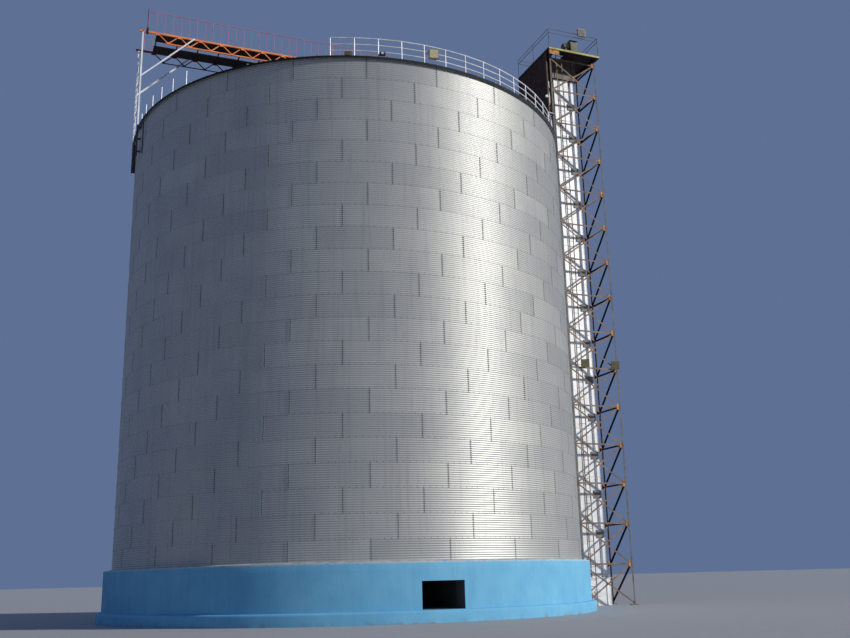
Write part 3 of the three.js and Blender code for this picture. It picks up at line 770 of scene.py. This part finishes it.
def build_eave_lamps(foot):
    """Floodlight, hooded lamp and junction box on the front of the eave railing."""
    housing, glass, hood, bulb = (Shape() for _ in range(4))
    out = at(1, math.radians(-12), 0)
    centre = at(RAIL_RADIUS + 0.14, FLOODLIGHT_ANGLE, foot + 0.45)
    lamp_box(housing, glass, centre, out, 0.40, 0.42, 0.16)
    housing.tube(at(RAIL_RADIUS, 0, foot + 0.47), centre - out * 0.10, 0.014)
    piece("eave_floodlight", housing, "lamp_housing", smooth=30)
    piece("eave_floodlight_glass", glass, "lamp_glass")

    centre = at(RAIL_RADIUS + 0.10, HOODED_LAMP_ANGLE, foot + 0.10)
    side = at(1, HOODED_LAMP_ANGLE + math.pi / 2, 0)
    out = at(1, HOODED_LAMP_ANGLE, 0)
    roof = [(-1.0, -0.02), (-0.75, 0.07), (0.75, 0.07), (1.0, -0.02)]
    hood.loft([[centre + side * 0.13 * u + UP * v + out * d for u, v in roof]
               for d in (-0.10, 0.12)])
    box = at(RAIL_RADIUS + 0.06, BOX_ANGLE, foot + 0.12)
    for share, low, high in ((1.0, -0.13, 0.02), (0.8, 0.02, 0.05)):
        hood.prism([box + side * u * share * 0.15 + out * v * share * 0.07 for u, v in SQUARE],
                   low, high)
    piece("eave_lamp_hood", hood, "green_paint")
    bulb.tube(centre + out * 0.10 - side * 0.01, centre + out * 0.135 - side * 0.01, 0.05, 16)
    piece("eave_lamp", bulb, "white_paint", smooth=30)


# Gallery

def top_node(n):
    return FIRST_NODE + n * PANEL


def build_trusses():
    web = mirrored(angle_iron(0.04, 0.006))
    upper, lower = channel(0.07, 0.08, 0.008), angle_iron(0.055, 0.006)
    gusset, out = (0.16, 0.09, 0.008), (0, 1, 0)
    overhang = PANEL / 2 - 0.06
    # The near truss takes the orange primer, the far truss the same primer darkened as painted
    # shade.
    for (side, name), finish in zip(SIDES, ("orange_paint", "shaded_orange_paint")):
        y = side * GALLERY_Y
        face = y + side * 0.03
        shape = Shape()
        start, end = top_node(0) + overhang, top_node(PANELS) - overhang
        for x0, x1, z, chord in ((GALLERY_START, GALLERY_END, GALLERY_TOP, upper),
                                 (start, end, GALLERY_BOTTOM - 0.025, lower)):
            shape.beam((x0, face, z), (x1, face, z), handed(chord, side))
        for n in range(PANELS):
            foot = (top_node(n) + PANEL / 2, y, GALLERY_BOTTOM)
            shape.beam((top_node(n), y, GALLERY_TOP), foot, web)
            shape.beam(foot, (top_node(n + 1), y, GALLERY_TOP), web)
            shape.plate((foot[0], face, GALLERY_BOTTOM + 0.03), out, *gusset)
        for n in range(PANELS + 1):
            shape.plate((top_node(n), face, GALLERY_TOP - 0.06), out, *gusset)
        piece(f"truss_{name}", shape, finish, [f"gallery_truss_{name}"])


def build_gallery():
    build_trusses()
    start = GALLERY_START + BALUSTER_PITCH
    count = POST_EVERY * int((GALLERY_END - start) / (POST_EVERY * BALUSTER_PITCH))
    end = start + count * BALUSTER_PITCH
    foot, top = GALLERY_TOP + 0.04, GALLERY_RAIL_TOP - 0.015
    rail, post, baluster = 0.016, 0.015, 0.011
    for side, name in SIDES:
        y = side * GALLERY_Y
        shape = Shape()
        shape.tube((start - post, y, top), (end + post, y, top), rail)
        for n in range(count + 1):
            radius = post if n % POST_EVERY == 0 else baluster
            shape.post(start + n * BALUSTER_PITCH, y, foot, top, radius, 6)
        if side < 0:
            shape.tube((end, y, top), (end, GALLERY_Y - 0.02, top), rail)
        piece(f"balusters_{name}", shape, "red_paint", [f"gallery_railing_{name}"], smooth=30)

    casing = Shape()
    (x0, _, _), (x1, _, _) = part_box("gallery_conveyor")
    low, high = CONVEYOR_Z
    lip, flange, joints = 0.02, 0.02, 6
    half = CONVEYOR_HALF - lip
    casing.block((x0, -half, low + lip), (x1, half, high - lip))
    for n in range(joints + 1):
        x = x0 + flange + (x1 - x0 - 2 * flange) * n / joints
        casing.block((x - flange, -CONVEYOR_HALF, low), (x + flange, CONVEYOR_HALF, high))
    piece("conveyor_casing", casing, "galvanised_sheet", ["gallery_conveyor"])

    rod = Shape()
    rod.post(ROD_X, -GALLERY_Y, GALLERY_TOP, ROD_TOP, 0.012)
    rod.block((ROD_X - 0.05, -GALLERY_Y - 0.06, GALLERY_TOP - 0.12),
              (ROD_X + 0.04, -GALLERY_Y + 0.02, GALLERY_TOP + 0.18))
    piece("gallery_rod", rod, "eave_flashing", smooth=30)


# Mast at the gallery's end

def on_wall(y):
    """The x of the wall's left side at a given y."""
    return -math.sqrt((WALL_CREST - 0.005) ** 2 - y ** 2)


def build_mast():
    leg, brace = angle_iron(MAST_LEG, 0.008), face_angle(0.065, 0.007)
    half = MAST_LEG / 2
    left, right = MAST_X - half, MAST_X + half
    rise = GALLERY_TOP - BRACE_START
    under_eave = EAVE - 0.06
    for side, name in SIDES:
        y = side * MAST_Y
        reach = on_wall(y)
        shape = Shape()
        corner = Vector((left, y + side * half, 0))
        shape.beam(corner + UP * MAST_FOOT, corner + UP * MAST_TOP, handed(leg, side),
                   (0, -side, 0))
        seat = sorted((side * (GALLERY_Y - 0.03), y + side * half))
        shape.block((left, seat[0], MAST_TOP - 0.05), (right, seat[1], MAST_TOP))
        face = y + side * 0.03
        shape.beam((MAST_X, face, BRACE_START), (MAST_X + rise, face, GALLERY_TOP),
                   handed(brace, -side), (0, side, 0))
        if side > 0:
            shape.block((left, y - 0.006, MAST_FOOT), (reach, y + 0.006, under_eave))
        else:
            # An upright strip on the wall below the eave, on the near side, dark in the mast
            # paint's dark foot.
            wall_strip = on_wall(WALL_STRIP_Y)
            shape.block((wall_strip - 0.03, WALL_STRIP_Y - 0.035, WALL_STRIP_FOOT),
                        (wall_strip + 0.02, WALL_STRIP_Y + 0.035, under_eave))
        for z in BRACKETS:
            shape.block((MAST_X, y - 0.022, z), (reach, y + 0.022, z + 0.08))
            shape.plate((reach, y, z + 0.04), (1, 0, 0), 0.14, 0.16, 0.012)
        piece(f"mast_angle_{name}", shape, "mast_paint", [f"mast_leg_{name}"])

    rungs = Shape()
    rungs.ladder([(LADDER_X, y) for y in LADDER_Y], MAST_FOOT, LADDER_TOP, 0.035, 0.015)
    reach, tie = MAST_Y - half, flat_bar(0.035, 0.048)
    for z in MAST_TIES:
        rungs.beam((LADDER_X, -reach, z + 0.025), (LADDER_X, reach, z + 0.025), tie)
    piece("mast_rungs", rungs, "mast_paint", ["mast_ladder"], smooth=30)


# Elevator tower

def tower_node(n):
    return (TOWER_PANELS - n) * TOWER_PANEL


def tower_spans(first):
    """Upper and lower height of each panel, from one panel down."""
    return [(tower_node(n), max(tower_node(n + 1), TOWER_LEG)) for n in range(first, TOWER_PANELS)]


def tower_leg(shape, x, face, low, high, width):
    """An upright angle iron whose corner is turned away from the tower's middle."""
    side = 1 if x > TOWER_X[0] else -1
    half = TOWER_LEG / 2
    corner = Vector((x + side * half, face * (TOWER_Y + half), 0))
    outline = handed(angle_iron(width, 0.010), -side * face)
    shape.beam(corner + UP * low, corner + UP * high, outline, (0, -face, 0))


def foot_plate(shape, x, y):
    half, thick, anchor = 0.15, 0.02, 0.11
    shape.block((x - half, y - half, 0), (x + half, y + half, thick))
    for u, v in SQUARE:
        shape.post(x + u * anchor, y + v * anchor, thick, 0.06, 0.012, 6)


def crossed_face(shape, face, first):
    """Horizontals and crossed diagonals between two legs, from one panel down."""
    x0, x1 = TOWER_X
    out = (0, face, 0)
    y = face * (TOWER_Y + TOWER_BAR / 2)
    inset = face * 0.008
    bar, diagonal = face_angle(FRONT_BAR, 0.007), face_angle(TOWER_DIAGONAL, 0.006)
    for top, low in tower_spans(first):
        shape.beam((x0, y, top), (x1, y, top), bar, out)
        shape.beam((x0, y - inset, top), (x1, y - inset, low), diagonal, out)
        shape.beam((x1, y - 2 * inset, top), (x0, y - 2 * inset, low), diagonal, out)


def gussets(shape, face, first, x, width, height):
    """Plates in a face at the height of each node, or of each crossing in the middle."""
    y = face * (TOWER_Y + TOWER_BAR / 2 + 0.004)
    for top, low in tower_spans(first):
        z = (top + low) / 2 if x == TOWER_MIDDLE else top
        shape.plate((x, y, z), (0, face, 0), width, height, 0.008)


def side_bracing(shape, x, side, first):
    """Horizontals and diagonals of a side face, between the legs."""
    reach = TOWER_Y - TOWER_LEG / 2 - 0.001
    out = (side, 0, 0)
    plane = x + side * TOWER_BAR / 2
    inner = plane - side * 0.008
    bar, diagonal = face_angle(SIDE_BAR, 0.007), face_angle(SIDE_BAR, 0.006)
    for top, low in tower_spans(first):
        drop = (top - low) * (TOWER_Y - reach) / (2 * TOWER_Y)
        shape.beam((plane, -reach, top), (plane, reach, top), bar, out)
        shape.beam((inner, -reach, top - drop), (inner, reach, low + drop), diagonal, out)


def build_tower():
    left, right = TOWER_X
    splice = tower_node(ROOM_PANELS) + TOWER_BAR / 2
    front, back, back_top, legs, plates = (Shape() for _ in range(5))
    for x, width in zip(TOWER_X, FRONT_LEGS):
        tower_leg(legs, x, -1, 0, LEG_TOP, width)
        tower_leg(back, x, 1, 0, splice, BACK_LEG)
        tower_leg(back_top, x, 1, splice, LEG_TOP, BACK_LEG)
        foot_plate(front, x, -TOWER_Y)
        foot_plate(back, x, TOWER_Y)
    crossed_face(front, -1, 0)
    crossed_face(back, 1, ROOM_PANELS)
    y = TOWER_Y + TOWER_BAR / 2
    for n in range(ROOM_PANELS):
        z = tower_node(n)
        back_top.beam((left, y, z), (right, y, z), face_angle(TOWER_BAR, 0.007), (0, 1, 0))
    gussets(legs, -1, 0, left + 0.05, 0.10, 0.20)
    piece("tower_front", front, "rusty_paint", ["tower_frame_front"])
    piece("tower_front_legs", legs, "leg_paint")
    piece("tower_back", back, "rusty_paint", ["tower_frame_back"])
    piece("tower_back_top", back_top, "rusty_paint", ["tower_frame_back_top"])
    for x, side, first, name in ((left, -1, ROOM_PANELS, "left"), (right, 1, 0, "right")):
        # The side braces take the near-black finish, painted shade of their faces turned from the
        # light.
        shape = Shape()
        side_bracing(shape, x, side, first)
        piece(f"tower_braces_{name}", shape, "shaded_brace_paint", [f"tower_bracing_{name}"])
    for face, first in ((-1, 0), (1, ROOM_PANELS)):
        gussets(plates, face, first, right - 0.08, 0.16, 0.28)
        gussets(plates, face, first, TOWER_MIDDLE, 0.10, 0.10)
    gussets(plates, 1, ROOM_PANELS, left + 0.08, 0.16, 0.28)
    piece("tower_gussets", plates, "gusset_paint")
    build_tower_ladder()
    build_tower_lamps()


def build_tower_ladder():
    shape = Shape()
    clip, top = 0.014, PLATFORM_TOP - PLATE - 0.001
    shape.ladder([(x, STRINGER_Y) for x in STRINGERS_X], 0, top, 0.036, 0.012)
    for z, _ in tower_spans(0):
        for x in STRINGERS_X:
            shape.block((x - clip, -TOWER_Y + 0.03, z - clip), (x + clip, STRINGER_Y, z + clip))
    piece("tower_rungs", shape, "ladder_paint", ["tower_ladder"], smooth=30)


def build_tower_lamps():
    """Two ribbed floodlights on the front of the tower."""
    housing, glass = Shape(), Shape()
    out = Vector((-0.35, -0.85, -0.25)).normalized()
    for x in TOWER_LAMPS_X:
        centre = Vector((x, -TOWER_Y - 0.22, TOWER_LAMPS_Z))
        lamp_box(housing, glass, centre, out, 0.42, 0.42, 0.14)
        arm = (x, -TOWER_Y - 0.02, tower_node(TOWER_LAMPS_NODE))
        housing.tube(arm, centre - out * 0.06, 0.014)
    piece("tower_floodlights", housing, "lamp_housing")
    piece("tower_floodlight_glass", glass, "olive_glass")


# Elevator

def casing(shape, low, high, joints, lip=0.018):
    """A rectangular casing with a flange round it at each joint and at both ends."""
    (x0, y0, z0), (x1, y1, z1) = low, high
    shape.block((x0 + lip, y0 + lip, z0), (x1 - lip, y1 - lip, z1))
    thick = 0.012
    for n in range(joints + 1):
        z = z0 + thick + (z1 - z0 - 2 * thick) * n / joints
        shape.block((x0, y0, z - thick), (x1, y1, z + thick))


def build_elevator():
    joints = 11
    for node, name in (("elevator_leg_up", "leg_casing_up"),
                       ("elevator_leg_down", "leg_casing_down"), ("return_duct", "duct_casing")):
        shape = Shape()
        casing(shape, *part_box(node), joints)
        piece(name, shape, "casing_paint", [node])

    clamps = Shape()
    lift, height = 0.3, 0.38
    (_, y0, _), (x1, _, _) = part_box("elevator_leg_down")
    for n in range(TOWER_PANELS - 1):
        z = (tower_node(n) + tower_node(n + 1)) / 2 + lift
        clamps.block((x1 - 0.13, y0 - 0.02, z), (x1 + 0.26, y0 + 0.02, z + height))
    piece("leg_clamps", clamps, "clamp_paint")
    build_head_and_boot()


def build_head_and_boot():
    """Casings of the two ends, each with ribs, bearings on both sides and their ledges."""
    lip, rib_inset, rib, bearing = 0.03, 0.3, 0.02, 0.16
    # The head casing's dark grey is partly its paint and partly painted shade under the platform.
    for node, name, finish in (("elevator_head", "head_casing", "grey_paint"),
                               ("elevator_boot", "boot_casing", "casing_paint")):
        (x0, y0, z0), (x1, y1, z1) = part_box(node)
        shape = Shape()
        casing(shape, *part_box(node), 1, lip)
        middle, shaft = (x0 + x1) / 2, (z0 + z1) / 2
        for x in (x0 + rib_inset, x1 - rib_inset):
            shape.block((x - rib, y0, z0), (x + rib, y1, z1))
        for side, y in ((-1, y0), (1, y1)):
            shape.tube((middle, y - side * 0.05, shaft), (middle, y, shaft), bearing, 20)
            near, far = sorted((y, y - side * 0.04))
            shape.block((middle - 0.2, near, shaft - 0.22), (middle + 0.2, far, shaft - 0.14))
        piece(name, shape, finish, [node], smooth=30)


def build_drive():
    """Finned motor on its bed, with the gearbox at its right end."""
    (x0, y0, z0), (x1, y1, z1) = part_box("head_drive")
    y, axis, radius = (y0 + y1) / 2, z0 + 0.42, 0.17
    gear = x1 - 0.47
    start, end = x0 + 0.10, gear + 0.01
    shape = Shape()
    shape.tube((x0, y, axis), (x0 + 0.12, y, axis), radius, 24)
    shape.tube((start, y, axis), (end, y, axis), radius - 0.03, 24)
    fins, fin = 20, flat_bar(0.006, 0.04)
    for n in range(fins):
        turn = math.tau * n / fins
        out = Vector((0, math.cos(turn), math.sin(turn)))
        middle = Vector((0, y, axis)) + out * (radius - 0.02)
        shape.beam(middle + Vector((start, 0, 0)), middle + Vector((end - 0.04, 0, 0)), fin, out)
    shape.block((start + 0.05, y - 0.09, axis + 0.12), (start + 0.24, y + 0.09, axis + 0.22))
    shape.block((x0 + 0.08, y - 0.16, z0), (gear + 0.05, y + 0.16, z0 + 0.04))
    for x in (x0 + 0.14, gear - 0.04):
        shape.block((x - 0.03, y - 0.14, z0 + 0.03), (x + 0.03, y + 0.14, z0 + 0.30))
    soft, half, height = 0.06, 0.20, z1 - z0
    outline = [(-half, 0), (half, 0), (half, height - soft), (half - soft, height),
               (soft - half, height), (-half, height - soft)]
    shape.loft([[(x, y + u, z0 + v) for u, v in outline] for x in (gear, x1 - 0.03)])
    shape.tube((x1 - 0.04, y, axis), (x1, y, axis), 0.12, 20)
    piece("drive_motor", shape, "green_paint", ["head_drive"], smooth=35)


# Head platform and head room

def build_platform():
    x0, x1 = PLATFORM_X
    left, right = x0 - 0.004, x1 + 0.004
    y0, low = PLATFORM_Y[0], PLATFORM_TOP - SKIRT
    edge = Shape()
    edge.block((left, y0 - 0.006, low + 0.03), (right, y0, PLATFORM_TOP))
    edge.block((left, y0 - 0.006, PLATFORM_TOP - 0.012), (right, y0 + 0.05, PLATFORM_TOP + 0.002))
    piece("platform_edge", edge, "edge_paint")
    bracket = Shape()
    bracket.block((x0 + 0.02, y0 + 0.01, low - 0.26), (x0 + 0.62, y0 + 0.03, low + 0.01))
    for x in (x0 + 0.05, x0 + 0.56):
        bracket.block((x - 0.02, y0 + 0.02, low - 0.24), (x + 0.02, y0 + 0.12, low + 0.005))
    piece("platform_bracket", bracket, "gusset_paint")
    build_platform_railing()
    build_platform_floodlight()


def build_platform_railing():
    (x0, y0, z0), (x1, y1, z1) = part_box("platform_railing")
    tube, post, inset, rail_pitch = 0.015, 0.019, 0.02, 0.22
    left, right, front, back = x0 + inset, x1 - inset, y0 + inset, y1 - inset
    top = z1 - tube
    shape = Shape()
    corners = ((left, front), (right, front), (right, back), (left, back))
    for z in (top, top - rail_pitch):
        rings = [[(x + u * out, y + v * out, z + up) for out, up in round_bar(tube)]
                 for (x, y), (u, v) in zip(corners, SQUARE)]
        shape.loft(rings, closed=True)
    posts = [(x, y) for x in (left, right) for y in (front, (front + back) / 2, back)]
    posts.append(((left + right) / 2, back))
    for x, y in posts:
        shape.post(x, y, z0, top, post)
        shape.block((x - 0.04, y - 0.035, z0), (x + 0.04, y + 0.035, z0 + 0.01))
    piece("platform_rails", shape, "rail_paint", ["platform_railing"], smooth=30)


def build_platform_floodlight():
    (x0, y0, z0), (x1, y1, z1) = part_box("platform_floodlight")
    housing, glass = Shape(), Shape()
    centre = Vector(((x0 + x1) / 2, y0 + 0.01, (z0 + z1) / 2))
    lamp_box(housing, glass, centre, Vector((0, -1, 0)), x1 - x0, z1 - z0, y1 - y0 - 0.02)
    back = y1 - 0.005
    for z in (z1 - 0.265, z1 - 0.485):
        housing.tube((x0 - 0.35, back, z), (x1, back, z), 0.012)
    piece("floodlight_housing", housing, "lamp_housing", ["platform_floodlight"])
    piece("floodlight_glass", glass, "dull_glass")


def ribbed_sheet(shape, start, end, out, low, high):
    """Upright sheet cladding from one (x, y) point to the other, with ribs to the outside."""
    start, end, out = Vector((*start, 0)), Vector((*end, 0)), Vector(out)
    along = (end - start).normalized()
    length = (end - start).length
    back = out * 0.012
    shape.prism([start, end, end - back, start - back], low, high)
    pitch, rib = 0.2, trapezium(0.07, 0.04, 0.02)
    count = int(length / pitch)
    for n in range(count):
        foot = start + along * (n + 0.5) * length / count
        shape.prism([foot + along * u + out * (v - 0.001) for u, v in rib], low, high)


def build_head_room():
    x0, y1 = PLATFORM_X[0], PLATFORM_Y[1]
    near, high = -TOWER_Y - TOWER_LEG / 2, LEG_TOP - 0.001
    start = TOWER_Y + TOWER_LEG / 2
    face, back, end = x0 + 0.022, y1 - 0.022, ROOM_END - 0.022
    slot = CONVEYOR_HALF + 0.01
    left, behind, right = (-1, 0, 0), (0, 1, 0), (1, 0, 0)
    shape = Shape()
    for first, last, out, low in (
            ((face, near), (face, -slot), left, ROOM_FLOOR),
            ((face, -slot), (face, slot), left, CONVEYOR_Z[1] + 0.01),
            ((face, slot), (face, y1 - 0.02), left, ROOM_FLOOR),
            ((face, back), (ROOM_END - 0.02, back), behind, ROOM_FLOOR),
            ((end, y1 - 0.02), (end, start), right, ROOM_FLOOR)):
        ribbed_sheet(shape, first, last, out, low, high)
    shape.block((x0 + 0.02, start, ROOM_FLOOR), (ROOM_END - 0.02, y1 - 0.02, ROOM_FLOOR + 0.04))
    piece("head_room_sheets", shape, "cladding_paint", ["head_room"])

    posts = Shape()
    leg = angle_iron(0.07, 0.008)
    for x, y, u, v in ((x0, near, 1, 1), (x0, y1, 1, -1), (ROOM_END, y1, -1, -1)):
        posts.prism([(x + u * p, y + v * q, 0) for p, q in leg], ROOM_FLOOR, high)
    piece("head_room_posts", posts, "post_paint")

    fittings = Shape()
    lamp = Vector((x0 - 0.13, near - 0.02, 26.38))
    fittings.tube(lamp, lamp - Vector((0, 0.10, 0.02)), 0.075, 16)
    fittings.tube(lamp, lamp + Vector((0.15, 0, 0)), 0.02)
    x, y, z = x0 - 0.08, near - 0.02, ROOM_FLOOR + 0.05
    fittings.tube((x, y, z), (TOWER_X[0] + 0.04, y, z - 0.03), 0.03)
    fittings.tube((x, y, z), (x, y, z - 0.35), 0.026)
    piece("head_room_fittings", fittings, "white_paint", smooth=30)


# Camera, floor and light

def build_camera():
    camera = show("camera", bpy.data.cameras.new("camera"))
    camera.data.sensor_width = 36
    camera.data.lens = LENS
    camera.data.clip_end = 5000
    heading, pitch, roll = CAMERA_TURN
    stand = Matrix.Translation(CAMERA)
    for turn, axis in ((-heading, "Z"), (90 + pitch, "X"), (roll, "Z")):
        stand @= Matrix.Rotation(math.radians(turn), 4, axis)
    camera.matrix_world = stand
    bpy.context.scene.camera = camera


def build_floor():
    reach = 1500
    mesh = bpy.data.meshes.new("floor")
    mesh.from_pydata([(reach * u, reach * v, -0.002) for u, v in SQUARE], [], [(0, 1, 2, 3)])
    mesh.materials.append(masonry("plain_floor", (158, 159, 161), (163, 164, 166)))
    floor = show("floor", mesh)


def build_light():
    scene = bpy.context.scene
    scene.view_settings.view_transform = "Standard"
    scene.world = bpy.data.worlds.new("studio")
    scene.world.use_nodes = True
    backdrop = scene.world.node_tree.nodes["Background"]
    backdrop.inputs["Color"].default_value = SKY
    backdrop.inputs["Strength"].default_value = 1.0

    key = bpy.data.lights.new("key", "SUN")
    key.energy = 3.45
    key.angle = math.radians(3)
    key.color = (1.0, 0.97, 0.92)
    bearing, height = (math.radians(v) for v in SUN_TURN)
    source = at(math.cos(height), bearing, math.sin(height))
    lamp = show("key", key)
    lamp.rotation_mode = "QUATERNION"
    lamp.rotation_quaternion = source.to_track_quat("Z", "Y")


build_camera()
build_floor()
build_light()
build_wall()
build_wall_seams()
build_base()
build_roof()
build_eave_railing()
build_gallery()
build_mast()
build_tower()
build_elevator()
build_drive()
build_platform()
build_head_room()
keep("bare_concrete", "tunnel_wall_left", "tunnel_wall_right")
keep("galvanised_sheet", "roof_collar", "fill_spout", "gallery_peak_frame", "discharge_spout")
keep("dark_sheet", "gallery_deck", "head_platform")
keep("rusty_paint", "conveyor_bearer")
